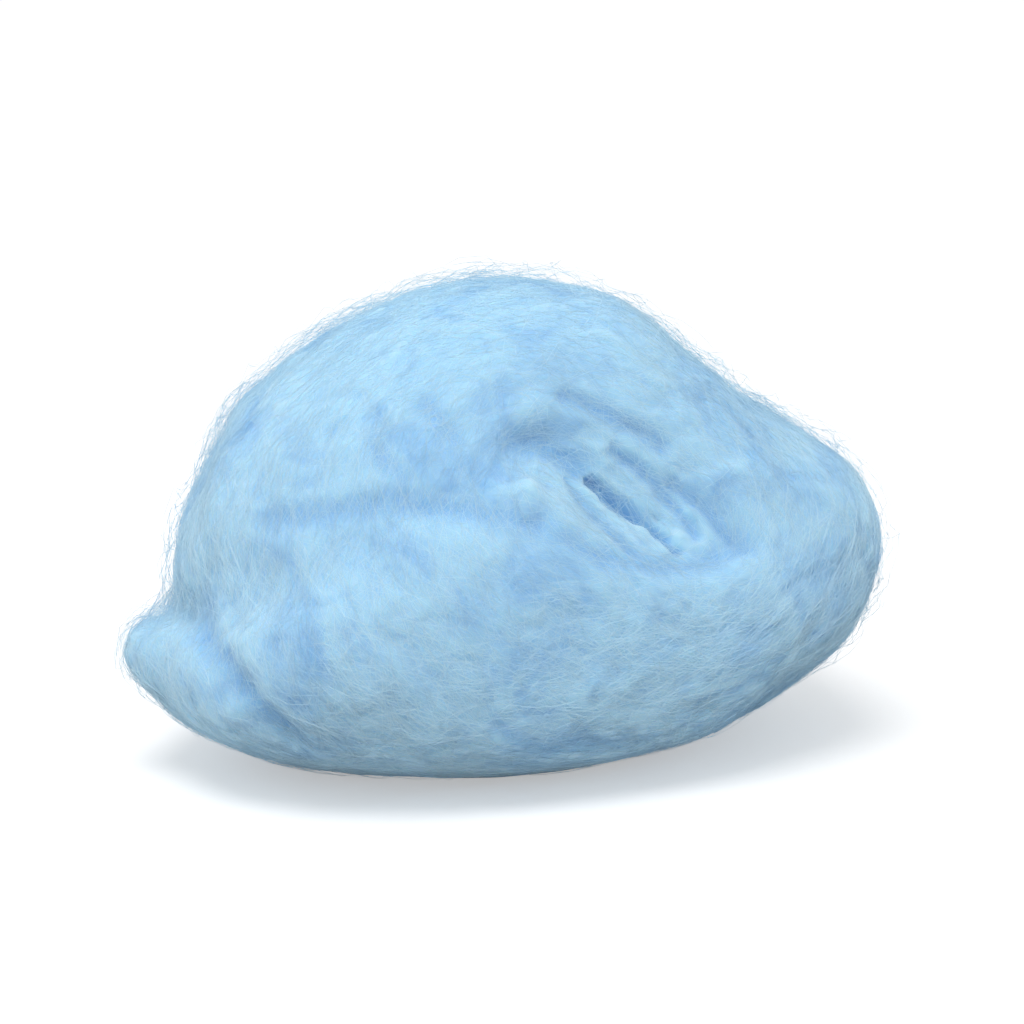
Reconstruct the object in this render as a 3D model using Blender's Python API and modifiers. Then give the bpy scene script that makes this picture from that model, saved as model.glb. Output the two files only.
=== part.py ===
"""A cotton ball: one strip of carded cotton web, rolled up and tucked in at both ends.

Metres, +Z up. The ball rests on z = 0, with the middle of its box over the origin and its longest
side along X. The roll's front end faces -Y and a little towards +X.
"""

import math

import bmesh
import bpy
from mathutils import Matrix, Vector

# The web as it comes from the card, before it is rolled. Its thinnest rim is a share of its thickness
WEB_THICKNESS = 0.0039
WEB_TURNS = 3.4
LEADING_EDGE = 0.0006
THINNEST_RIM = 0.24

# The core is folded flat, so every turn goes round a narrow slit
SLIT_HALF_WIDTH = 0.0002
SLIT_HALF_LENGTH = 0.0041
LONG_SIDE_STRETCH = 1.2
TURN_GAP = 0.0004
FIRST_FOLD_TURNS = 0.6

# The roll's straight part, and how its ends are domed, drawn in and bent aside
ROLL_HALF_LENGTH = 0.0082
END_DOME = 0.36
CORE_BULGE = 0.20
CORE_BULGE_REACH = 0.0050
END_NARROWING = 0.34
END_REACH = 0.0130
ROLL_BEND = 0.0032

# The tail, which lies on the last turn and ends on a slant that runs from the eye to the flap
TAIL_TAPER_TURNS = 0.06
TAIL_LIFT = 0.0007
TAIL_LIFT_TURNS = 0.10
TAIL_SLANT_TURNS = 0.06
TAIL_SLANT_POWER = 12

# The web's edges at some turns from the core: the turn, how far round the end the edge is tucked in
# degrees, and the width over which the web thins out to it
WEB_EDGES = (
    (0.0, 45.0, 0.0010),
    (0.6, 66.0, 0.0012),
    (1.24, 72.0, 0.0014),
    (1.6, 60.0, 0.0018),
    (2.2, 70.0, 0.0022),
    (2.5, 52.0, 0.0030),
    (2.8, 56.0, 0.0034),
    (3.2, 72.0, 0.0036),
    (3.45, 66.0, 0.0036),
)

# How the roll lies. Its slit leans more than its outer turns, and differently at the two ends
TAIL_ANGLE = math.radians(214.0)
FRONT_SLIT_TILT = math.radians(-42.0)
BACK_SLIT_TILT = math.radians(10.0)
OUTER_TILT = math.radians(-8.0)
TILT_REACH = 0.0120
TWIST_REACH = 0.0080
ROLL_PITCH = math.radians(12.0)
ROLL_YAW = math.radians(27.0)

# How the ball has settled under its own weight: narrower and to one side at the top, flat below
HILL_TAPER = 0.24
HILL_LEAN = 0.10
HILL_REACH = 0.0130
SETTLED_DEPTH = 0.0010

# The cage that Subdivision Surface smooths
WEB_STEPS = 60
STEP_CROWDING = 0.70
HALF_ROWS = 5
ROW_CROWDING = 0.8

BALL_NAME = "cotton_ball"
BALL_COLLECTION = "cotton ball"
CUTTER_COLLECTION = "cutters"
FLOOR_SIZE = 0.060
COTTON_COLOUR = (0.45, 0.74, 0.94, 1.0)
COTTON_ROUGHNESS = 0.95


def clear_scene():
    for obj in list(bpy.data.objects):
        bpy.data.objects.remove(obj, do_unlink=True)


def smooth_step(value):
    value = min(1.0, max(0.0, value))
    return value * value * (3.0 - 2.0 * value)


def rounded_edge(share):
    """The share of the web's thickness left at this share of the way out to one of its edges."""
    return max(THINNEST_RIM, math.sqrt(max(0.0, 1.0 - share ** 2)))


def edge_of_web(turn):
    """The tuck angle and the rim's width at this turn, eased between the values given."""
    for before, after in zip(WEB_EDGES, WEB_EDGES[1:]):
        if turn <= after[0]:
            share = smooth_step((turn - before[0]) / (after[0] - before[0]))
            tuck, rim = (low + (high - low) * share for low, high in zip(before[1:], after[1:]))
            return math.radians(tuck), rim
    return math.radians(WEB_EDGES[-1][1]), WEB_EDGES[-1][2]


def inner_face(turn):
    """How far the web's inner face is from the core at this turn. The first turn lies on the slit."""
    second = SLIT_HALF_WIDTH + LEADING_EDGE + TURN_GAP
    if turn < 1.0:
        risen = smooth_step((turn - FIRST_FOLD_TURNS) / (1.0 - FIRST_FOLD_TURNS))
        return SLIT_HALF_WIDTH + (second - SLIT_HALF_WIDTH) * risen
    return second + (WEB_THICKNESS + TURN_GAP) * (turn - 1.0)


def faces_of_web(turn, turns_left, share):
    """The web's inner and outer face at this turn, as distances from the core."""
    inner = inner_face(turn)
    thickness = inner_face(turn + 1.0) - TURN_GAP - inner
    thickness *= rounded_edge(max(0.0, 1.0 - turns_left / TAIL_TAPER_TURNS))
    lift = TAIL_LIFT * (1.0 - share ** 2) * smooth_step(1.0 - turns_left / TAIL_LIFT_TURNS)
    return inner + lift, inner + lift + thickness


def tilt_of_turns(reach, axial):
    """How far the turns lean at this distance from the core and this place along the roll."""
    front = smooth_step((axial + TWIST_REACH) / (2.0 * TWIST_REACH))
    slit_tilt = BACK_SLIT_TILT + (FRONT_SLIT_TILT - BACK_SLIT_TILT) * front
    return slit_tilt + (OUTER_TILT - slit_tilt) * smooth_step(reach / TILT_REACH)


def place_in_roll(reach, angle, axial):
    """The point at this distance and angle from the core and this place along the bent, drawn-in roll."""
    long_side = SLIT_HALF_LENGTH + LONG_SIDE_STRETCH * reach
    place = Vector((long_side * math.cos(angle), 0.0, reach * math.sin(angle)))
    place.rotate(Matrix.Rotation(-tilt_of_turns(reach, axial), 3, "Y"))
    to_end = (axial / END_REACH) ** 2
    place *= 1.0 - END_NARROWING * to_end
    return place + Vector((ROLL_BEND * to_end, -axial, 0.0))


def rolled(length, share, face):
    """The place of a point of the web: length runs from 0 to 1 along it, share from -1 to 1 across its
    width and face from 0 on the inside to 1 on the outside."""
    turn = WEB_TURNS * length ** STEP_CROWDING
    turns_left = WEB_TURNS - turn
    turn += TAIL_SLANT_TURNS * smooth_step(share) * length ** TAIL_SLANT_POWER
    inner, outer = faces_of_web(turn, turns_left, share)
    middle = (inner + outer) / 2
    tuck, rim_width = edge_of_web(turn)
    half_width = ROLL_HALF_LENGTH + middle * tuck
    along = abs(share) * half_width
    into_rim = max(0.0, (along - half_width + rim_width) / rim_width)
    shell = inner + face * (outer - inner) * rounded_edge(into_rim)
    round_end = max(0.0, along - ROLL_HALF_LENGTH) / middle
    reach = shell * math.cos(round_end)
    axial = min(along, ROLL_HALF_LENGTH) + END_DOME * shell * math.sin(round_end)
    axial *= 1.0 + CORE_BULGE * math.exp(-((reach / CORE_BULGE_REACH) ** 2))
    angle = TAIL_ANGLE + math.tau * (WEB_TURNS - turn)
    return place_in_roll(reach, angle, math.copysign(axial, share))


def settled(place):
    """The point after the ball has sagged into a low hill."""
    narrowing = 1.0 - HILL_TAPER * place.z / HILL_REACH
    return Vector((place.x * narrowing + HILL_LEAN * place.z, place.y * narrowing, place.z))


def rolled_web():
    """The flat web as a slab of cells, with each corner moved to its place in the roll."""
    web = bmesh.new()
    bmesh.ops.create_grid(web, x_segments=WEB_STEPS, y_segments=2 * HALF_ROWS, size=1.0)
    bmesh.ops.solidify(web, geom=web.faces[:], thickness=1.0)
    low = min(corner.co.z for corner in web.verts)
    high = max(corner.co.z for corner in web.verts)
    lie = Matrix.Rotation(ROLL_YAW, 3, "Z") @ Matrix.Rotation(-ROLL_PITCH, 3, "X")
    for corner in web.verts:
        length = (corner.co.x + 1.0) / 2
        share = math.copysign(abs(corner.co.y) ** ROW_CROWDING, corner.co.y)
        face = (corner.co.z - low) / (high - low)
        corner.co = settled(lie @ rolled(length, share, face))
    bmesh.ops.recalc_face_normals(web, faces=web.faces[:])
    mesh = bpy.data.meshes.new(BALL_NAME)
    web.to_mesh(mesh)
    web.free()
    return mesh


def new_collection(name):
    made = bpy.data.collections.new(name)
    bpy.context.scene.collection.children.link(made)
    return made


def cotton():
    """The pale blue cotton, as the photograph shows it in full light."""
    material = bpy.data.materials.new("cotton")
    material.use_nodes = True
    shader = material.node_tree.nodes["Principled BSDF"]
    shader.inputs["Base Color"].default_value = COTTON_COLOUR
    shader.inputs["Roughness"].default_value = COTTON_ROUGHNESS
    shader.inputs["Metallic"].default_value = 0.0
    return material


def soften(ball):
    soft = ball.modifiers.new("soft_web", "SUBSURF")
    soft.levels = 1
    soft.render_levels = 1


def settle(ball):
    """Puts the middle of the ball's box over the origin and its lowest part SETTLED_DEPTH below the floor."""
    shape = ball.evaluated_get(bpy.context.evaluated_depsgraph_get())
    points = [vertex.co for vertex in shape.data.vertices]
    low = Vector(min(point[axis] for point in points) for axis in range(3))
    high = Vector(max(point[axis] for point in points) for axis in range(3))
    middle = (low + high) / 2
    ball.data.transform(Matrix.Translation((-middle.x, -middle.y, -low.z - SETTLED_DEPTH)))


def flatten(ball):
    """Takes off what lies below the floor, which leaves the small flat spot that the ball rests on."""
    bpy.ops.mesh.primitive_cube_add(size=FLOOR_SIZE, location=(0.0, 0.0, -FLOOR_SIZE / 2))
    floor = bpy.context.object
    floor.name = "floor_cutter"
    floor.display_type = "WIRE"
    floor.hide_render = True
    for owner in list(floor.users_collection):
        owner.objects.unlink(floor)
    new_collection(CUTTER_COLLECTION).objects.link(floor)
    cut = ball.modifiers.new("resting_face", "BOOLEAN")
    cut.operation = "DIFFERENCE"
    cut.solver = "EXACT"
    cut.object = floor


def main():
    clear_scene()
    ball = bpy.data.objects.new(BALL_NAME, rolled_web())
    new_collection(BALL_COLLECTION).objects.link(ball)
    ball.data.materials.append(cotton())
    ball.data.polygons.foreach_set("use_smooth", [True] * len(ball.data.polygons))
    soften(ball)
    settle(ball)
    flatten(ball)


main()
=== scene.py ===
"""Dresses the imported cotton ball: its fluffy body, the fibres that lie on it and those that stand off it."""

import math

import bmesh
import bpy
import numpy as np
from bpy.props import FloatProperty, FloatVectorProperty, IntProperty, PointerProperty
from mathutils import Matrix, Vector
from mathutils.bvhtree import BVHTree


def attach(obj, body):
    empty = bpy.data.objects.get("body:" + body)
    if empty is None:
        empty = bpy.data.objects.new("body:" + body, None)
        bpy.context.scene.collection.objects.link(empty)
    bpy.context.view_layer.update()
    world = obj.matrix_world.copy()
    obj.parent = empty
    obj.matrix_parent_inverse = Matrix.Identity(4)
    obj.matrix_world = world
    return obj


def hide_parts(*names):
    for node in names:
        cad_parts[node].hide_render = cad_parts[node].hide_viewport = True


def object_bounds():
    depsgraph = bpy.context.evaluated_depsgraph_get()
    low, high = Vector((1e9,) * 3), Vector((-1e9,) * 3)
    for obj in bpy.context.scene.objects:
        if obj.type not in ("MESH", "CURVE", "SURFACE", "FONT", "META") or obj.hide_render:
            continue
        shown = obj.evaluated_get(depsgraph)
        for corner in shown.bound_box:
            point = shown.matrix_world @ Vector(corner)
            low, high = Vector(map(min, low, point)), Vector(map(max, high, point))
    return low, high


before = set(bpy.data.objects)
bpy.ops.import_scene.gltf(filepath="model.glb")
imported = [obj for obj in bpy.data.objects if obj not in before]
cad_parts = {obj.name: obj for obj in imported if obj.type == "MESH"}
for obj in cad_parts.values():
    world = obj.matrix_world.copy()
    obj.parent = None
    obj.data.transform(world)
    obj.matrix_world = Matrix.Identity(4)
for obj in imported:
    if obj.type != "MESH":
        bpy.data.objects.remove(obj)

bl_info = {
    "name": "Cotton ball",
    "version": (1, 0, 0),
    "blender": (4, 5, 0),
    "location": "3D View > Sidebar > Cotton ball",
    "description": "Builds the fluffy body, the fibres and the stage of a rolled cotton ball",
    "category": "Object",
}

NODE = "cotton_ball"
SLOT = "cotton"
CAD_BOX = [list(corner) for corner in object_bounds()]
MM = 0.001
MERGE_DISTANCE = 1e-7

# The roll inside the ball, as the part's source winds it
ROLL_CENTRE = Vector((-0.0015, -0.0008, 0.0133))
ROLL_LIE = Matrix.Rotation(math.radians(27.0), 3, "Z") @ Matrix.Rotation(math.radians(-12.0), 3, "X")
ROLL_AXIS = ROLL_LIE @ Vector((0.0, -1.0, 0.0))
ROLL_LONG = ROLL_LIE @ Vector((1.0, 0.0, 0.0))
ROLL_UP = ROLL_LIE @ Vector((0.0, 0.0, 1.0))
SLIT_HALF_LENGTH = 0.0041
SLIT_TILT = math.radians(-42.0)
OUTER_TILT = math.radians(-8.0)
TILT_REACH = 0.0120
ROLL_BEND = 0.0032
END_REACH = 0.0130

# Where loose filling hides the hollows of the web: at both ends of the roll and along the tail. Place and
# reach, mm
LOFTS = (
    ((7.0, -13.0, 14.5), 9.0),
    ((-5.5, 14.0, 11.5), 7.5),
    ((-1.0, -14.5, 14.0), 5.0),
    ((-6.0, -14.0, 12.5), 6.0),
    ((-11.0, -12.5, 11.0), 5.0),
    ((-14.5, -10.0, 10.0), 4.0),
)
LOFT_ROUNDS = 4
LOFT_EASE = 1.6
SOFTEN_ROUNDS = 4

# How many times a surface is averaged to find its level, to blend a filling and to calm the web over it
LEVEL_ROUNDS = 60
BLEND_ROUNDS = 3
CALM_ROUNDS = 8

# Where the soft web has been pushed out of its round form: place, reach and shift, mm
DENTS = (
    ((12.0, 2.0, 21.5), 10.0, (-0.3, 0.0, -2.3)),
    ((19.0, -3.0, 13.5), 6.0, (0.9, 0.0, 0.0)),
    ((15.0, -5.0, 4.0), 6.0, (-1.0, 0.0, 0.2)),
    ((-18.0, -3.0, 15.5), 6.0, (1.3, 0.0, -0.2)),
    ((-19.0, -6.0, 7.0), 4.0, (-1.6, -0.3, 0.2)),
)

# Where loose fibres gather in tufts: place and reach, mm
TUFTS = (
    ((-19.0, -7.0, 9.0), 4.0),
    ((-13.0, 2.0, 18.0), 6.0),
    ((-8.0, 3.0, 23.0), 6.0),
    ((-1.0, 3.0, 25.5), 4.0),
    ((13.0, 2.0, 19.5), 4.0),
    ((18.5, -4.0, 9.5), 4.0),
)

# Creases by half width, depth and points, mm right of and above the middle of the ball, seen from the front.
# The lines of sight that carry the points to the web start SIGHT_START in front of it
VIEW_PITCH = math.radians(15.0)
SIGHT_START = 0.1
CREASES = (
    (0.36, 1.00, ((4.2, 1.7), (5.2, 0.8), (6.1, 0.2), (7.4, -0.7), (8.8, -2.0))),
    (0.90, 0.50, ((0.2, 3.4), (1.5, 3.5), (2.6, 3.0), (3.4, 2.3))),
    (0.45, 0.40, ((2.9, 1.9), (3.9, 0.4), (5.3, -1.0), (6.8, -2.2))),
    (0.45, 0.48, ((8.6, 1.4), (9.7, 0.6), (10.7, -0.3), (11.6, -1.6))),
    (0.45, 0.42, ((5.4, 3.2), (6.9, 2.2), (7.8, 1.2), (8.9, 0.0), (9.7, -1.2))),
    (0.55, 0.42, ((2.9, 6.1), (4.7, 5.4), (6.5, 4.4), (7.9, 3.4))),
    (0.65, 0.28, ((-4.4, 5.6), (-3.7, 4.6), (-3.0, 3.8))),
    (0.65, 0.22, ((-7.2, 3.2), (-6.3, 2.3), (-5.5, 1.7))),
    (0.90, 0.38, ((12.2, -1.8), (10.8, -2.6), (8.4, -2.9), (4.5, -2.4), (1.0, -0.6), (-3.1, 0.2), (-6.0, 0.6),
                  (-9.2, -0.1), (-12.3, -0.4))),
    (1.00, 0.60, ((-16.5, -6.4), (-15.3, -7.8), (-14.2, -9.3), (-11.9, -11.3))),
)

# Painted shade: how dark a crease is painted, how much darker for each mm that it is deep, and the same for
# any other hollow
SHADE_OF_CREASE = 0.15
SHADE_PER_DEPTH = 0.9
SHADE_OF_HOLLOW = 1.6

# The height over which the web turns from pressed flat to fluffy
FLUFF_START = 0.0006
FLUFF_RISE = 0.0030

# The noise of the clumps, of the streaks in the web and of the wisps that its fibres gather in. Streaks and
# wisps are drawn out along the winding. The wisps' range turns their noise into a share of the fibres
CLUMPS = {"Detail": 3.0, "Roughness": 0.62, "Distortion": 0.8}
STREAKS = {"Detail": 3.0, "Roughness": 0.55}
WISPS = {"Scale": 0.9, "Detail": 2.0, "Roughness": 0.5}
WINDING_STRETCH = (2.2, 2.2, 1.0)
WISP_RANGE = (0.38, 0.62, 0.25, 1.75)

# How fibres lie on the web and how strays leave it
LYING = {"Stand off": 0.00008, "Turn": 0.5, "Curl": 1.6, "Crease thinning": 0.8, "Tufts": 0.0,
         "Wiggle": 0.0018, "Steps": 7}
STRAY = {"Height": 0.0001, "Turn": 1.4, "Curl": 3.0, "Crease thinning": 1.0, "Tufts": 3.0,
         "Wiggle": 0.0034, "Steps": 9}
LAYER_START = 0.00004
LAYER_STEP = 0.00008
LAYER_SEED = 100
STRAY_SLIMNESS = 0.8
STRAY_SEED = 900

# What differs from fibre to fibre, with its least and its most, and the seed step of the turn
VARIETY = (
    ("own_length", 0.45, 1.25),
    ("own_bend", -1.0, 1.0),
    ("own_height", 0.0, 1.0),
    ("shade", 0.0, 1.0),
    ("loose", -0.6, 1.0),
)
TURN_SEED = 11

# The run of a fibre. Low on the ball it stands off less, and none comes nearer to the floor than
# LOWEST_FIBRE
BOW_CENTRE = 0.08
WIGGLE = {"Scale": 420.0, "Detail": 1.0}
FREE_END_LIFT = 1.4
TUBE_SIDES = 3
TIP_POWER = 3.0
THINNEST_TIP = 0.12
LOW_RANGE = (0.002, 0.009, 0.15, 1.0)
LOWEST_FIBRE = 0.00005

# How the cotton takes light, how deeply the painted crease shade darkens the body and the fibres, and how it
# is mottled
COTTON_FINISH = {"Roughness": 0.95, "Specular IOR Level": 0.1}
WEB_FINISH = {
    "Sheen Weight": 0.2, "Sheen Roughness": 0.7, "Subsurface Weight": 0.6,
    "Subsurface Radius": (0.5, 0.8, 1.0), "Subsurface Scale": 0.0016,
}
WEB_CREASE_SHADE = 0.85
FIBRE_CREASE_SHADE = 0.45
DULLEST_FIBRE = 0.92
FIBRE_SHADES = 0.14
MOTTLE = {"Scale": 210.0, "Detail": 4.0, "Roughness": 0.65, "Distortion": 0.6}
MOTTLE_RANGE = (0.48, 0.72, 0.0, 1.0)
MOTTLE_AMOUNT = 0.50

# The stage. The camera sees the floor and the world as white, whatever light they give the ball
WHITE = (1.0, 1.0, 1.0, 1.0)
FLOOR_SIZE = 3.0
FLOOR_GLOW = 0.42
WORLD_LIGHT = 0.55
LAMP_PLACE = (-0.05, -0.14, 0.38)
LAMP_AIM = (0.0, 0.0, 0.012)
LAMP_SIZE = 0.24
LAMP_POWER = 0.85
LENS = 250.0
CAMERA_DISTANCE = 0.385


class BodySettings(bpy.types.PropertyGroup):
    """The sizes of the ball's body"""

    voxel: FloatProperty(
        name="Voxel", description="Cell that fuses the turns", default=0.00047, unit="LENGTH", precision=5)
    swell: FloatProperty(
        name="Swell", description="How far the web fluffs out over its gaps", default=0.00022, unit="LENGTH",
        precision=5)
    loft: FloatProperty(
        name="Loft", description="Share of each hollow that the loose fibres fill", default=0.45, min=0.0,
        max=1.0)
    eye_loft: FloatProperty(
        name="Loft of the eye", description="Share of the hollows filled round the ends of the roll",
        default=1.0, min=0.0, max=1.0)
    clump_size: FloatProperty(
        name="Clump size", description="Width of the soft clumps in the web", default=0.0042, unit="LENGTH",
        precision=5)
    clump_depth: FloatProperty(
        name="Clump depth", description="Depth of the clumps", default=0.0011, unit="LENGTH", precision=5)
    streak_size: FloatProperty(
        name="Streak size", description="Width of the wisps that follow the winding", default=0.0010,
        unit="LENGTH", precision=5)
    streak_depth: FloatProperty(
        name="Streak depth", description="Depth of the wisps", default=0.00045, unit="LENGTH", precision=5)


class FibreSettings(bpy.types.PropertyGroup):
    """The sizes of the fibres"""

    lying: IntProperty(name="Lying fibres", description="Fibres in each lying layer", default=5000)
    layers: IntProperty(name="Layers", description="Layers of lying fibres", default=3)
    lying_length: FloatProperty(
        name="Lying length", description="Length of a fibre that lies on the web", default=0.0085,
        unit="LENGTH", precision=5)
    stray: IntProperty(name="Stray fibres", description="Fibres that stand off the web", default=3400)
    stray_length: FloatProperty(
        name="Stray length", description="Length of a stray fibre", default=0.0070, unit="LENGTH",
        precision=5)
    stray_height: FloatProperty(
        name="Stray height", description="How far a stray fibre stands off", default=0.0011, unit="LENGTH",
        precision=5)
    radius: FloatProperty(
        name="Radius", description="Radius of a fibre", default=0.000012, unit="LENGTH", precision=6)


class ColourSettings(bpy.types.PropertyGroup):
    """The colours of the cotton and of the stage"""

    cotton: FloatVectorProperty(
        name="Cotton", description="Cotton in full light", subtype="COLOR", default=(0.47, 0.75, 0.95),
        size=3)
    # Partly painted light: paler than the web for the little dye in one fibre, and to stand in for light
    # scattered through the tangle
    fibre: FloatVectorProperty(
        name="Fibre", description="A single fibre", subtype="COLOR", default=(0.66, 0.88, 1.0), size=3)
    # Painted shade: the deep colour that creases and hollows are darkened towards; the random mottles lean to
    # it too
    crease_shade_and_mottle: FloatVectorProperty(
        name="Crease shade and mottle", description="Cotton deep between the turns", subtype="COLOR",
        default=(0.20, 0.50, 0.83), size=3)
    floor: FloatVectorProperty(
        name="Floor", description="The floor", subtype="COLOR", default=(0.78, 0.78, 0.78), size=3)


def settings():
    return bpy.context.scene.cotton_ball


def smooth_step(values):
    values = np.clip(values, 0.0, 1.0)
    return values * values * (3.0 - 2.0 * values)


def corners(mesh):
    flat = np.empty(len(mesh.vertices) * 3)
    mesh.vertices.foreach_get("co", flat)
    return flat.reshape(-1, 3)


def corner_normals(mesh):
    flat = np.empty(len(mesh.vertices) * 3)
    mesh.vertex_normals.foreach_get("vector", flat)
    return flat.reshape(-1, 3)


def set_corners(mesh, points):
    """Moves the corners to these points, and none of them below the floor."""
    points[:, 2] = np.maximum(points[:, 2], 0.0)
    mesh.vertices.foreach_set("co", points.ravel())
    mesh.update()


def set_attribute(mesh, name, values):
    """Stores one number or one vector at each corner of the mesh."""
    kind, key = ("FLOAT_VECTOR", "vector") if values.ndim == 2 else ("FLOAT", "value")
    found = mesh.attributes.get(name) or mesh.attributes.new(name, kind, "POINT")
    found.data.foreach_set(key, np.ascontiguousarray(values, dtype=np.float32).ravel())


def roll_coordinates(points):
    """For each point: its angle round the roll's core, its distance from it, its place along the roll and the
    direction in which the web is wound there."""
    away = points - np.array(ROLL_CENTRE)
    along = away @ np.array(ROLL_AXIS)
    across = away @ np.array(ROLL_LONG) - ROLL_BEND * (along / END_REACH) ** 2
    above = away @ np.array(ROLL_UP)
    tilt = SLIT_TILT + (OUTER_TILT - SLIT_TILT) * smooth_step(np.hypot(across, above) / TILT_REACH)
    leaning_x = across * np.cos(tilt) + above * np.sin(tilt)
    leaning_y = above * np.cos(tilt) - across * np.sin(tilt)
    out_x = leaning_x - np.clip(leaning_x, -SLIT_HALF_LENGTH, SLIT_HALF_LENGTH)
    reach = np.maximum(np.hypot(out_x, leaning_y), 1e-6)
    side_x = (out_x * np.cos(tilt) - leaning_y * np.sin(tilt)) / reach
    side_y = (out_x * np.sin(tilt) + leaning_y * np.cos(tilt)) / reach
    outward = side_x[:, None] * np.array(ROLL_LONG) + side_y[:, None] * np.array(ROLL_UP)
    winding = np.cross(np.array(ROLL_AXIS), outward)
    return np.arctan2(leaning_y, leaning_x), reach, along, winding


def neighbours_of(mesh):
    flat = np.empty(len(mesh.edges) * 2, dtype=np.int64)
    mesh.edges.foreach_get("vertices", flat)
    return flat.reshape(-1, 2)


def smoothed(values, edges, rounds):
    """The values after each has been averaged with its neighbours this many times."""
    count = np.bincount(edges.ravel(), minlength=len(values)).astype(float)
    for _ in range(rounds):
        total = np.zeros_like(values)
        np.add.at(total, edges[:, 0], values[edges[:, 1]])
        np.add.at(total, edges[:, 1], values[edges[:, 0]])
        values = 0.5 * values + 0.5 * total / (count[:, None] if values.ndim == 2 else count)
    return values


def near(points, place, reach):
    """One at the place, falling to nothing at the reach."""
    away = np.linalg.norm(points - np.array(place) * MM, axis=1)
    return smooth_step(1.0 - away / (reach * MM))


def nearest_of(points, spots):
    """One at any of the spots, falling to nothing at the reach of each."""
    return np.max([near(points, place, reach) for place, reach in spots], axis=0)


def depth_below_level(points, normals, edges):
    """How far each corner lies below the levelled web. A crest counts as less than nothing."""
    level = smoothed(points, edges, LEVEL_ROUNDS)
    return np.sum((level - points) * normals, axis=1)


def lofted(mesh, loft, eye_loft):
    """Fills a share of each hollow in the web, and more of it where loose filling hides the hollows."""
    points = corners(mesh)
    edges = neighbours_of(mesh)
    normals = corner_normals(mesh)
    depth = np.maximum(depth_below_level(points, normals, edges), 0.0)
    eased = smooth_step(LOFT_EASE * nearest_of(points, LOFTS))
    share = loft + (eye_loft - loft) * eased
    points += normals * smoothed(depth * share, edges, BLEND_ROUNDS)[:, None]
    points += (smoothed(points, edges, CALM_ROUNDS) - points) * eased[:, None]
    set_corners(mesh, points)


def dented(mesh):
    """Shifts the parts of the web that were pushed out of its round form."""
    points = corners(mesh)
    moved = points.copy()
    for place, reach, shift in DENTS:
        moved += near(points, place, reach)[:, None] * np.array(shift) * MM
    set_corners(mesh, moved)


def surface_of(mesh):
    return BVHTree.FromPolygons([v.co for v in mesh.vertices], [tuple(p.vertices) for p in mesh.polygons])


def on_front(surface, line):
    """The points of a line drawn on the front of the ball, on the surface."""
    back = Vector((0.0, -math.cos(VIEW_PITCH), math.sin(VIEW_PITCH)))
    above = Vector((0.0, math.sin(VIEW_PITCH), math.cos(VIEW_PITCH)))
    middle = (Vector(CAD_BOX[0]) + Vector(CAD_BOX[1])) / 2
    hits = []
    for right, up in line:
        start = middle + Vector((right * MM, 0.0, 0.0)) + above * up * MM + back * SIGHT_START
        hit = surface.ray_cast(start, -back)[0]
        if hit:
            hits.append(np.array(hit))
    return hits


def distance_to_line(points, line):
    """How far each point is from the nearest stretch of the line."""
    best = np.full(len(points), np.inf)
    for start, end in zip(line, line[1:]):
        run = end - start
        share = np.clip((points - start) @ run / max(run @ run, 1e-12), 0.0, 1.0)
        best = np.minimum(best, np.linalg.norm(points - start - share[:, None] * run, axis=1))
    return best


def creased(mesh):
    """Presses the creases into the web, and gives back how much of a crease each corner is, which sets its
    painted shade.
    """
    points = corners(mesh)
    normals = corner_normals(mesh)
    inward = np.zeros(len(points))
    shade = np.zeros(len(points))
    surface = surface_of(mesh)
    for half_width, depth, line in CREASES:
        away = distance_to_line(points, on_front(surface, line)) / (half_width * MM)
        hollow = np.exp(-away ** 2)
        inward = np.maximum(inward, depth * MM * hollow)
        # The painted shade that each crease lays on the web, darker for a deeper crease
        shade = np.maximum(shade, min(1.0, SHADE_OF_CREASE + SHADE_PER_DEPTH * depth) * hollow)
    set_corners(mesh, points - normals * inward[:, None])
    return shade


def node(tree, kind, inputs=None, **options):
    """Adds a node, sets its options, and feeds each named input a value or another node's output."""
    made = tree.nodes.new(kind)
    for name, value in options.items():
        setattr(made, name, value)
    for key, value in (inputs or {}).items():
        if isinstance(value, bpy.types.NodeSocket):
            tree.links.new(value, made.inputs[key])
        else:
            made.inputs[key].default_value = value
    return made


def set_inputs(shader, values):
    for name, value in values.items():
        shader.inputs[name].default_value = value


def maths(tree, operation, *values):
    return node(tree, "ShaderNodeMath", dict(enumerate(values)), operation=operation).outputs[0]


def product(tree, *factors):
    """The factors multiplied one after another."""
    result = factors[0]
    for factor in factors[1:]:
        result = maths(tree, "MULTIPLY", result, factor)
    return result


def ranged(tree, value, span):
    """The value carried from the range of the first two numbers to that of the last two, and kept in it."""
    return node(tree, "ShaderNodeMapRange", dict(enumerate((value, *span)))).outputs[0]


def vectors(tree, operation, *values):
    return node(tree, "ShaderNodeVectorMath", dict(enumerate(values)), operation=operation).outputs["Vector"]


def scaled(tree, vector, factor):
    made = node(tree, "ShaderNodeVectorMath", {0: vector, "Scale": factor}, operation="SCALE")
    return made.outputs["Vector"]


def named(tree, name, kind="FLOAT"):
    made = node(tree, "GeometryNodeInputNamedAttribute", {"Name": name}, data_type=kind)
    return made.outputs["Attribute"]


def stored(tree, geometry, name, value, kind="FLOAT"):
    return node(
        tree, "GeometryNodeStoreNamedAttribute", {"Geometry": geometry, "Name": name, "Value": value},
        data_type=kind, domain="POINT").outputs["Geometry"]


def random_value(tree, low, high, seed):
    made = node(tree, "FunctionNodeRandomValue", {2: low, 3: high, "Seed": seed}, data_type="FLOAT")
    return made.outputs[1]


def position(tree):
    return node(tree, "GeometryNodeInputPosition").outputs[0]


def surface_normal(tree):
    return node(tree, "GeometryNodeInputNormal").outputs[0]


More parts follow.
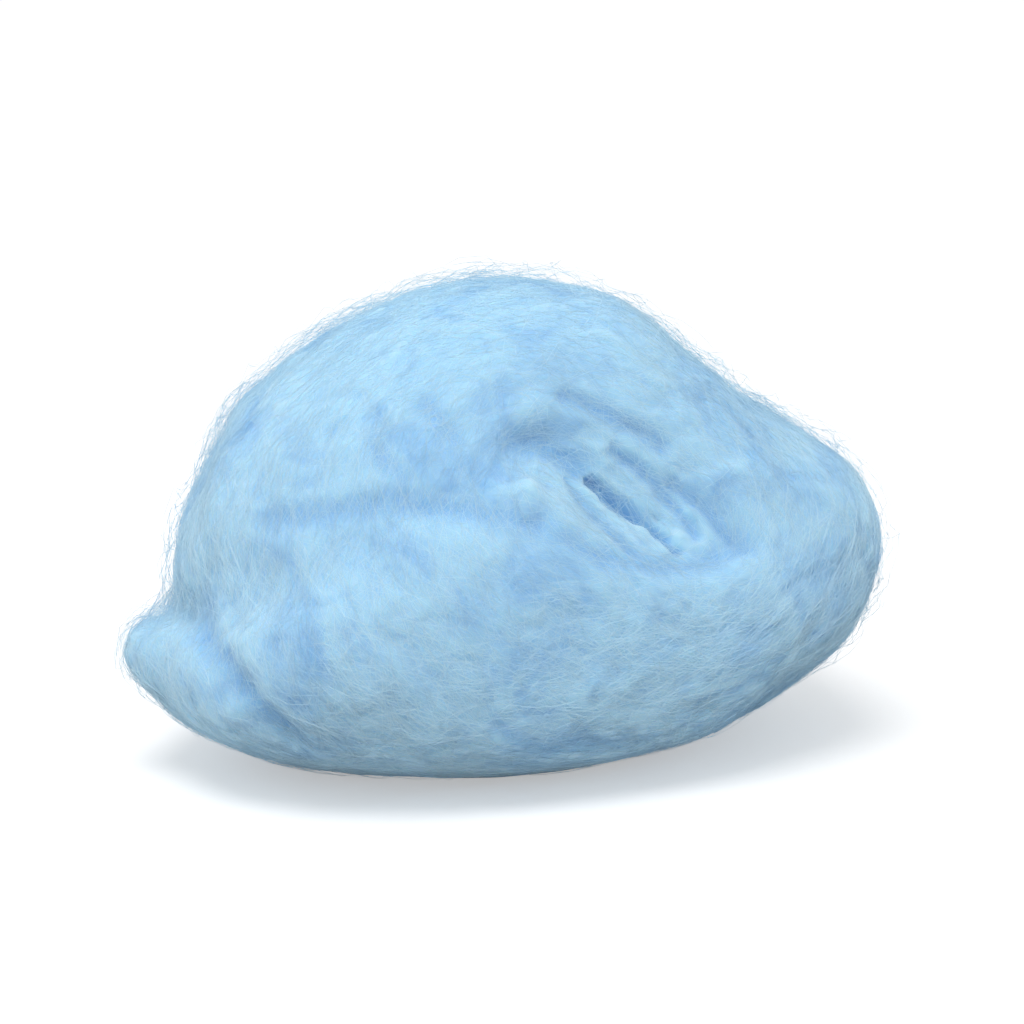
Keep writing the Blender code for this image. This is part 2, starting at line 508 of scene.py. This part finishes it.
def at_surface(tree, web, value, place, kind="FLOAT"):
    """The value that the web has where it is nearest to the place."""
    return node(tree, "GeometryNodeSampleNearestSurface", {
        "Mesh": web, "Value": value, "Sample Position": place}, data_type=kind).outputs[0]


def new_tree(name, sizes):
    """A Geometry Nodes tree that takes a mesh and these named sizes."""
    tree = bpy.data.node_groups.new(name, "GeometryNodeTree")
    tree.interface.new_socket("Geometry", in_out="INPUT", socket_type="NodeSocketGeometry")
    for size, kind in sizes:
        tree.interface.new_socket(size, in_out="INPUT", socket_type=kind)
    tree.interface.new_socket("Geometry", in_out="OUTPUT", socket_type="NodeSocketGeometry")
    given = tree.nodes.new("NodeGroupInput").outputs
    return tree, given


def finish_tree(tree, geometry, material):
    """Ends the tree with real geometry in this material."""
    real = node(tree, "GeometryNodeRealizeInstances", {"Geometry": geometry}).outputs[0]
    coated = node(tree, "GeometryNodeSetMaterial", {"Geometry": real, "Material": material})
    node(tree, "NodeGroupOutput", {0: coated.outputs[0]})


def applied(obj):
    """The plain mesh that the object's modifier makes. The object is removed."""
    bpy.context.view_layer.update()
    graph = bpy.context.evaluated_depsgraph_get()
    made = bpy.data.meshes.new_from_object(obj.evaluated_get(graph), depsgraph=graph)
    bpy.data.objects.remove(obj)
    return made


def grown(name, mesh, tree, sizes):
    """The plain mesh that the tree makes of this one with these sizes."""
    carrier = bpy.data.objects.new(name, mesh)
    bpy.context.scene.collection.objects.link(carrier)
    modifier = carrier.modifiers.new("grow", "NODES")
    modifier.node_group = tree
    for socket in tree.interface.items_tree:
        if socket.item_type == "SOCKET" and socket.in_out == "INPUT" and socket.name in sizes:
            modifier[socket.identifier] = sizes[socket.name]
    return applied(carrier)


def modified(mesh, kind, **options):
    """The mesh after one modifier."""
    carrier = bpy.data.objects.new("carrier", mesh)
    bpy.context.scene.collection.objects.link(carrier)
    modifier = carrier.modifiers.new("change", kind)
    for name, value in options.items():
        setattr(modifier, name, value)
    return applied(carrier)


def swollen_web(swell):
    """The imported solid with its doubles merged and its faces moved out, so that the turns touch."""
    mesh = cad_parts[NODE].data.copy()
    web = bmesh.new()
    web.from_mesh(mesh)
    bmesh.ops.remove_doubles(web, verts=web.verts[:], dist=MERGE_DISTANCE)
    web.normal_update()
    for corner in web.verts:
        corner.co += corner.normal * swell
        corner.co.z = max(corner.co.z, 0.0)
    web.to_mesh(mesh)
    web.free()
    mesh.materials.clear()
    return mesh


def outer_piece(mesh):
    """The largest connected piece of the mesh, which leaves out sealed hollows between the turns."""
    edges = neighbours_of(mesh)
    label = np.arange(len(mesh.vertices))
    while True:
        low = np.minimum(label[edges[:, 0]], label[edges[:, 1]])
        before = label.copy()
        np.minimum.at(label, edges[:, 0], low)
        np.minimum.at(label, edges[:, 1], low)
        label = label[label]
        if np.array_equal(before, label):
            break
    keep = label == np.bincount(label).argmax()
    piece = bmesh.new()
    piece.from_mesh(mesh)
    piece.verts.ensure_lookup_table()
    bmesh.ops.delete(piece, geom=[v for v in piece.verts if not keep[v.index]], context="VERTS")
    piece.to_mesh(mesh)
    piece.free()
    return mesh


def mark_web(mesh, creases):
    """Stores at each corner how the web is wound there, how deep it lies in a crease and how fluffy it is."""
    points = corners(mesh)
    edges = neighbours_of(mesh)
    normals = corner_normals(mesh)
    angle, reach, along, winding = roll_coordinates(points)
    winding -= np.sum(winding * normals, axis=1)[:, None] * normals
    winding /= np.maximum(np.linalg.norm(winding, axis=1), 1e-9)[:, None]
    set_attribute(mesh, "winding", winding)
    set_attribute(mesh, "round", np.stack([np.cos(angle), np.sin(angle), along / MM], axis=1))
    set_attribute(mesh, "reach", reach / MM)
    depth = depth_below_level(points, normals, edges) / MM
    # The crease mask: it sets the painted shade in creases and hollows, and thins the fibres there
    set_attribute(mesh, "crease", np.clip(np.maximum(SHADE_OF_HOLLOW * depth, creases), 0.0, 1.0))
    set_attribute(mesh, "fluff", smooth_step((points[:, 2] - FLUFF_START) / FLUFF_RISE))
    set_attribute(mesh, "tuft", nearest_of(points, TUFTS))


def noise_along_winding(tree, values):
    return node(tree, "ShaderNodeTexNoise", {
        "Vector": vectors(tree, "MULTIPLY", named(tree, "round", "FLOAT_VECTOR"), WINDING_STRETCH),
        "W": named(tree, "reach"), **values}, noise_dimensions="4D").outputs[0]


def clump_tree():
    """A tree that gives the web its clumps and the wisps that follow its winding."""
    tree, given = new_tree("cotton clumps", (
        ("Clump size", "NodeSocketFloat"), ("Clump depth", "NodeSocketFloat"),
        ("Streak size", "NodeSocketFloat"), ("Streak depth", "NodeSocketFloat")))
    clumps = node(tree, "ShaderNodeTexNoise", {
        "Vector": position(tree), "Scale": maths(tree, "DIVIDE", 1.0, given["Clump size"]),
        **CLUMPS}).outputs[0]
    streaks = noise_along_winding(
        tree, {"Scale": maths(tree, "DIVIDE", MM, given["Streak size"]), **STREAKS})
    lift = maths(
        tree, "ADD",
        product(tree, maths(tree, "SUBTRACT", clumps, 0.5), given["Clump depth"]),
        product(tree, maths(tree, "SUBTRACT", streaks, 0.5), given["Streak depth"]))
    lift = product(tree, lift, named(tree, "fluff"))
    moved = node(tree, "GeometryNodeSetPosition", {
        "Geometry": given["Geometry"], "Offset": scaled(tree, surface_normal(tree), lift)}).outputs[0]
    finish_tree(tree, moved, body_material())
    return tree


def fibre_density(tree, given):
    """How densely fibres grow: not on the flat spot, less in creases, more in wisps and tufts."""
    open_web = maths(tree, "SUBTRACT", 1.0, product(tree, named(tree, "crease"), given["Crease thinning"]))
    wisps = ranged(tree, noise_along_winding(tree, WISPS), WISP_RANGE)
    tufts = maths(tree, "ADD", 1.0, product(tree, named(tree, "tuft"), given["Tufts"]))
    return product(tree, given["Density"], product(tree, named(tree, "fluff"), open_web, wisps, tufts))


def fibre_roots(tree, given):
    """The points that fibres grow from, each with its heading and its own sizes."""
    def seed(step):
        return maths(tree, "ADD", given["Seed"], step)

    rooted = node(tree, "GeometryNodeDistributePointsOnFaces", {
        "Mesh": given["Geometry"], "Density": fibre_density(tree, given), "Seed": given["Seed"]})
    normal = rooted.outputs["Normal"]
    turn = random_value(tree, product(tree, given["Turn"], -1.0), given["Turn"], seed(TURN_SEED))
    heading = node(tree, "ShaderNodeVectorRotate", {
        "Vector": named(tree, "winding", "FLOAT_VECTOR"), "Axis": normal, "Angle": turn},
        rotation_type="AXIS_ANGLE").outputs[0]
    roots = rooted.outputs["Points"]
    for name, value in (
            ("heading", heading), ("sideways", vectors(tree, "CROSS_PRODUCT", normal, heading)),
            ("root", position(tree))):
        roots = stored(tree, roots, name, value, "FLOAT_VECTOR")
    for step, (name, low, high) in enumerate(VARIETY, start=1):
        roots = stored(tree, roots, name, random_value(tree, low, high, seed(step)))
    return roots


def straight_fibres(tree, given, roots):
    """One short straight line at each root."""
    line = node(tree, "GeometryNodeCurvePrimitiveLine", {"Start": (0.0, 0.0, 0.0), "End": (MM, 0.0, 0.0)})
    line = node(tree, "GeometryNodeResampleCurve", {"Curve": line.outputs[0], "Count": given["Steps"]})
    placed = node(tree, "GeometryNodeInstanceOnPoints", {"Points": roots, "Instance": line.outputs[0]})
    return node(tree, "GeometryNodeRealizeInstances", {"Geometry": placed.outputs[0]}).outputs[0]


def fibre_path(tree, given, centred):
    """Where the points of a fibre go, before it is laid on the web, and how restless each of them is."""
    length = product(tree, given["Length"], named(tree, "own_length"))
    along = scaled(tree, named(tree, "heading", "FLOAT_VECTOR"), product(tree, centred, length))
    bow = maths(tree, "SUBTRACT", product(tree, centred, centred), BOW_CENTRE)
    bow = product(tree, bow, length, named(tree, "own_bend"), given["Curl"])
    aside = scaled(tree, named(tree, "sideways", "FLOAT_VECTOR"), bow)
    path = vectors(tree, "ADD", vectors(tree, "ADD", named(tree, "root", "FLOAT_VECTOR"), along), aside)
    noise = node(tree, "ShaderNodeTexNoise", {
        "Vector": path, "W": named(tree, "shade"), **WIGGLE}, noise_dimensions="4D").outputs
    wiggle = scaled(tree, vectors(tree, "SUBTRACT", noise["Color"], (0.5, 0.5, 0.5)), given["Wiggle"])
    return vectors(tree, "ADD", path, wiggle), noise["Fac"]


def fibre_height(tree, given, share, path, unrest):
    """How far each point of a fibre is from the web: it arches up, or its free end lifts off."""
    arch = maths(tree, "SINE", product(tree, share, math.pi))
    loose = maths(tree, "MAXIMUM", named(tree, "loose"), 0.0)
    free_end = product(tree, loose, product(tree, share, share), FREE_END_LIFT)
    rise = product(tree, maths(tree, "MAXIMUM", arch, free_end), product(tree, unrest, 2.0))
    above_floor = node(tree, "ShaderNodeSeparateXYZ", {0: path}).outputs[2]
    rise = product(tree, rise, ranged(tree, above_floor, LOW_RANGE))
    stand = product(tree, rise, given["Stand off"], named(tree, "own_height"))
    return maths(tree, "ADD", product(tree, given["Height"], named(tree, "own_height")), stand)


def laid_on_web(tree, web, path, height):
    """The path moved to this height over the web, and kept above the floor."""
    skin = at_surface(tree, web, surface_normal(tree), path, "FLOAT_VECTOR")
    nearest = node(tree, "GeometryNodeProximity", {
        "Geometry": web, "Sample Position": path}, target_element="FACES").outputs["Position"]
    place = node(tree, "ShaderNodeSeparateXYZ", {
        0: vectors(tree, "ADD", nearest, scaled(tree, skin, height))}).outputs
    return node(tree, "ShaderNodeCombineXYZ", {
        0: place[0], 1: place[1], 2: maths(tree, "MAXIMUM", place[2], LOWEST_FIBRE)}).outputs[0]


def fibre_tubes(tree, given, strands, centred):
    """Slim tubes along the fibres, which run out to fine tips."""
    to_end = maths(tree, "ABSOLUTE", product(tree, centred, 2.0))
    taper = maths(tree, "SUBTRACT", 1.0, maths(tree, "POWER", to_end, TIP_POWER))
    radius = product(tree, given["Radius"], maths(tree, "MAXIMUM", taper, THINNEST_TIP))
    ring = node(tree, "GeometryNodeCurvePrimitiveCircle", {"Resolution": TUBE_SIDES, "Radius": 1.0})
    tube = node(tree, "GeometryNodeCurveToMesh", {
        "Curve": strands, "Profile Curve": ring.outputs[0], "Scale": radius, "Fill Caps": True})
    smooth = node(tree, "GeometryNodeSetShadeSmooth", {"Geometry": tube.outputs[0], "Shade Smooth": True})
    return smooth.outputs[0]


def fibre_tree():
    """A tree that grows fibres along the winding of the web that it is given."""
    sizes = [(name, "NodeSocketFloat") for name in (
        "Density", "Length", "Radius", "Height", "Stand off", "Turn", "Curl", "Crease thinning", "Tufts",
        "Wiggle")]
    counts = [(name, "NodeSocketInt") for name in ("Steps", "Seed")]
    tree, given = new_tree("cotton fibres", sizes + counts)
    web = given["Geometry"]
    strands = straight_fibres(tree, given, fibre_roots(tree, given))
    share = node(tree, "GeometryNodeSplineParameter").outputs["Factor"]
    centred = maths(tree, "SUBTRACT", share, 0.5)
    path, unrest = fibre_path(tree, given, centred)
    height = fibre_height(tree, given, share, path, unrest)
    strands = node(tree, "GeometryNodeSetPosition", {
        "Geometry": strands, "Position": laid_on_web(tree, web, path, height)}).outputs[0]
    # The crease mask carried to the fibres, for the painted crease shade on them
    strands = stored(tree, strands, "crease", at_surface(tree, web, named(tree, "crease"), path))
    finish_tree(tree, fibre_tubes(tree, given, strands, centred), fibre_material())
    return tree


def tint_group():
    """A shader group for the colour of cotton: pale in full light, darkened by painted shade in the creases
    and mottled all over.
    """
    found = bpy.data.node_groups.get("cotton tint")
    if found:
        return found
    tree = bpy.data.node_groups.new("cotton tint", "ShaderNodeTree")
    for name, kind in (
            ("Light", "NodeSocketColor"), ("Shade and mottle", "NodeSocketColor"), ("Crease", "NodeSocketFloat"),
            ("Mottle", "NodeSocketFloat")):
        tree.interface.new_socket(name, in_out="INPUT", socket_type=kind)
    tree.interface.new_socket("Color", in_out="OUTPUT", socket_type="NodeSocketColor")
    given = tree.nodes.new("NodeGroupInput").outputs
    place = node(tree, "ShaderNodeTexCoord").outputs["Object"]
    patches = ranged(
        tree, node(tree, "ShaderNodeTexNoise", {"Vector": place, **MOTTLE}).outputs[0], MOTTLE_RANGE)
    # Painted shade in the creases, or a random mottle, whichever is more, leans the colour to the deep one
    amount = maths(tree, "MAXIMUM", product(tree, patches, given["Mottle"]), given["Crease"])
    mixed = node(tree, "ShaderNodeMix", {0: amount, 6: given["Light"], 7: given["Shade and mottle"]}, data_type="RGBA")
    node(tree, "NodeGroupOutput", {0: mixed.outputs[2]})
    return tree


def cotton_material(name, pale, crease_shade_strength):
    """A matt cotton whose colour is darkened by painted shade in the creases. Gives the material, its shader
    and its colour.
    """
    material = bpy.data.materials.new(name)
    material.use_nodes = True
    tree = material.node_tree
    shader = tree.nodes["Principled BSDF"]
    set_inputs(shader, COTTON_FINISH)
    crease = node(tree, "ShaderNodeAttribute", attribute_name="crease").outputs["Fac"]
    tint = node(tree, "ShaderNodeGroup", node_tree=tint_group())
    set_inputs(tint, {
        "Light": (*pale, 1.0), "Shade and mottle": (*settings().colours.crease_shade_and_mottle, 1.0), "Mottle": MOTTLE_AMOUNT})
    tree.links.new(product(tree, crease, crease_shade_strength), tint.inputs["Crease"])
    return material, shader, tint.outputs["Color"]


def body_material():
    """The web under the fibres, which light shines into."""
    material, shader, colour = cotton_material(SLOT, settings().colours.cotton, WEB_CREASE_SHADE)
    material.node_tree.links.new(colour, shader.inputs["Base Color"])
    set_inputs(shader, WEB_FINISH)
    return material


def fibre_material():
    """The fibres, paler than the web because each one alone holds little dye, and partly as painted light that
    stands in for the light scattered through the tangle; not all as bright.
    """
    material, shader, colour = cotton_material("cotton_fibre", settings().colours.fibre, FIBRE_CREASE_SHADE)
    tree = material.node_tree
    shade = node(tree, "ShaderNodeAttribute", attribute_name="shade").outputs["Fac"]
    value = maths(tree, "ADD", DULLEST_FIBRE, product(tree, shade, FIBRE_SHADES))
    shaded = node(tree, "ShaderNodeHueSaturation", {"Color": colour, "Value": value}).outputs[0]
    tree.links.new(shaded, shader.inputs["Base Color"])
    return material


def finished(name, mesh):
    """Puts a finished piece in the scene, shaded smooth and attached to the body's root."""
    piece = bpy.data.objects.new(name, mesh)
    bpy.context.scene.collection.objects.link(piece)
    mesh.polygons.foreach_set("use_smooth", [True] * len(mesh.polygons))
    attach(piece, "root")
    return piece


class COTTON_OT_body(bpy.types.Operator):
    """Builds the ball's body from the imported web, with its turns fused, its clumps and its wisps"""

    bl_idname = "cotton.body"
    bl_label = "Body"

    def execute(self, context):
        sizes = settings().body
        mesh = modified(swollen_web(sizes.swell), "REMESH", mode="VOXEL", voxel_size=sizes.voxel)
        mesh = outer_piece(mesh)
        mesh = modified(mesh, "SMOOTH", factor=0.5, iterations=SOFTEN_ROUNDS)
        for _ in range(LOFT_ROUNDS):
            lofted(mesh, sizes.loft / LOFT_ROUNDS, sizes.eye_loft)
        dented(mesh)
        mesh = modified(mesh, "SUBSURF", levels=1, render_levels=1)
        creases = creased(mesh)
        mark_web(mesh, creases)
        mesh = grown("web", mesh, clump_tree(), {
            "Clump size": sizes.clump_size, "Clump depth": sizes.clump_depth,
            "Streak size": sizes.streak_size, "Streak depth": sizes.streak_depth})
        mark_web(mesh, creases)
        piece = finished("cotton_body", mesh)
        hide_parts(NODE)
        return {"FINISHED"}


def add_fibres(name, count, seed, sizes):
    """Grows one piece of about this many fibres over the body."""
    web = bpy.data.objects["cotton_body"].data.copy()
    area = sum(face.area for face in web.polygons)
    tree = bpy.data.node_groups.get("cotton fibres") or fibre_tree()
    mesh = grown(name, web, tree, {"Density": count / area, "Seed": seed, **sizes})
    piece = finished(name, mesh)
    piece.visible_shadow = False


class COTTON_OT_lying(bpy.types.Operator):
    """Lays fibres on the body along the winding of the web"""

    bl_idname = "cotton.lying"
    bl_label = "Lying fibres"

    def execute(self, context):
        sizes = settings().fibres
        for layer in range(sizes.layers):
            add_fibres(f"cotton_fibres_{layer + 1}", sizes.lying, LAYER_SEED * (layer + 1), {
                "Length": sizes.lying_length, "Radius": sizes.radius,
                "Height": LAYER_START + LAYER_STEP * layer, **LYING})
        return {"FINISHED"}


class COTTON_OT_stray(bpy.types.Operator):
    """Lets stray fibres stand off the body"""

    bl_idname = "cotton.stray"
    bl_label = "Stray fibres"

    def execute(self, context):
        sizes = settings().fibres
        add_fibres("cotton_strays", sizes.stray, STRAY_SEED, {
            "Length": sizes.stray_length, "Radius": sizes.radius * STRAY_SLIMNESS,
            "Stand off": sizes.stray_height, **STRAY})
        return {"FINISHED"}


class COTTON_OT_stage(bpy.types.Operator):
    """Sets out the floor, the soft lamp and the camera"""

    bl_idname = "cotton.stage"
    bl_label = "Stage"

    def execute(self, context):
        add_floor()
        add_world()
        add_lamp()
        add_camera()
        return {"FINISHED"}


def add_floor():
    mesh = bpy.data.meshes.new("floor")
    floor = bmesh.new()
    bmesh.ops.create_grid(floor, x_segments=1, y_segments=1, size=FLOOR_SIZE)
    floor.to_mesh(mesh)
    floor.free()
    material = bpy.data.materials.new("floor")
    material.use_nodes = True
    tree = material.node_tree
    shader = tree.nodes["Principled BSDF"]
    set_inputs(shader, {
        "Base Color": (*settings().colours.floor, 1.0), "Roughness": 1.0, "Specular IOR Level": 0.0,
        "Emission Color": WHITE})
    tree.links.new(seen_directly(tree, 0.0, FLOOR_GLOW), shader.inputs["Emission Strength"])
    mesh.materials.append(material)
    piece = bpy.data.objects.new("floor", mesh)
    bpy.context.scene.collection.objects.link(piece)


def seen_directly(tree, lighting, shown):
    """A number for the rays that light the scene, and another for those that show it."""
    path = node(tree, "ShaderNodeLightPath").outputs
    seen = maths(tree, "MAXIMUM", path["Is Camera Ray"], path["Is Glossy Ray"])
    seen = maths(tree, "MAXIMUM", seen, path["Is Transmission Ray"])
    return node(tree, "ShaderNodeMix", {0: seen, 2: lighting, 3: shown}, data_type="FLOAT").outputs[0]


def add_lamp():
    lamp = bpy.data.lights.new("key", "AREA")
    lamp.shape = "DISK"
    lamp.size = LAMP_SIZE
    lamp.energy = LAMP_POWER
    holder = bpy.data.objects.new("key", lamp)
    holder.location = LAMP_PLACE
    aim = Vector(LAMP_AIM) - Vector(LAMP_PLACE)
    holder.rotation_euler = aim.to_track_quat("-Z", "Y").to_euler()
    bpy.context.scene.collection.objects.link(holder)


def add_world():
    world = bpy.data.worlds.new("studio")
    world.use_nodes = True
    tree = world.node_tree
    light = tree.nodes["Background"]
    light.inputs["Color"].default_value = WHITE
    tree.links.new(seen_directly(tree, WORLD_LIGHT, 1.0), light.inputs["Strength"])
    bpy.context.scene.world = world


def add_camera():
    camera = bpy.data.cameras.new("camera")
    camera.lens = LENS
    camera.sensor_width = 36.0
    camera.clip_start = 0.01
    holder = bpy.data.objects.new("camera", camera)
    low, high = (Vector(corner) for corner in CAD_BOX)
    middle = (low + high) / 2
    back = Vector((0.0, -math.cos(VIEW_PITCH), math.sin(VIEW_PITCH)))
    holder.location = middle + back * CAMERA_DISTANCE
    holder.rotation_euler = (math.pi / 2 - VIEW_PITCH, 0.0, 0.0)
    bpy.context.scene.collection.objects.link(holder)
    bpy.context.scene.camera = holder


class CottonBallSettings(bpy.types.PropertyGroup):
    """All settings of the cotton ball"""

    body: PointerProperty(type=BodySettings)
    fibres: PointerProperty(type=FibreSettings)
    colours: PointerProperty(type=ColourSettings)


class COTTON_PT_panel(bpy.types.Panel):
    """Lists the steps that build the cotton ball"""

    bl_idname = "COTTON_PT_panel"
    bl_label = "Cotton ball"
    bl_space_type = "VIEW_3D"
    bl_region_type = "UI"
    bl_category = "Cotton ball"

    def draw(self, context):
        for step in (COTTON_OT_body, COTTON_OT_lying, COTTON_OT_stray, COTTON_OT_stage):
            self.layout.operator(step.bl_idname)


CLASSES = (
    BodySettings, FibreSettings, ColourSettings, CottonBallSettings,
    COTTON_OT_body, COTTON_OT_lying, COTTON_OT_stray, COTTON_OT_stage, COTTON_PT_panel,
)


def register():
    for cls in CLASSES:
        bpy.utils.register_class(cls)
    bpy.types.Scene.cotton_ball = PointerProperty(type=CottonBallSettings)


def unregister():
    del bpy.types.Scene.cotton_ball
    for cls in reversed(CLASSES):
        bpy.utils.unregister_class(cls)


def main():
    register()
    bpy.context.scene.view_settings.view_transform = "Standard"
    bpy.ops.cotton.body()
    bpy.ops.cotton.lying()
    bpy.ops.cotton.stray()
    bpy.ops.cotton.stage()


if __name__ == "__main__":
    main()
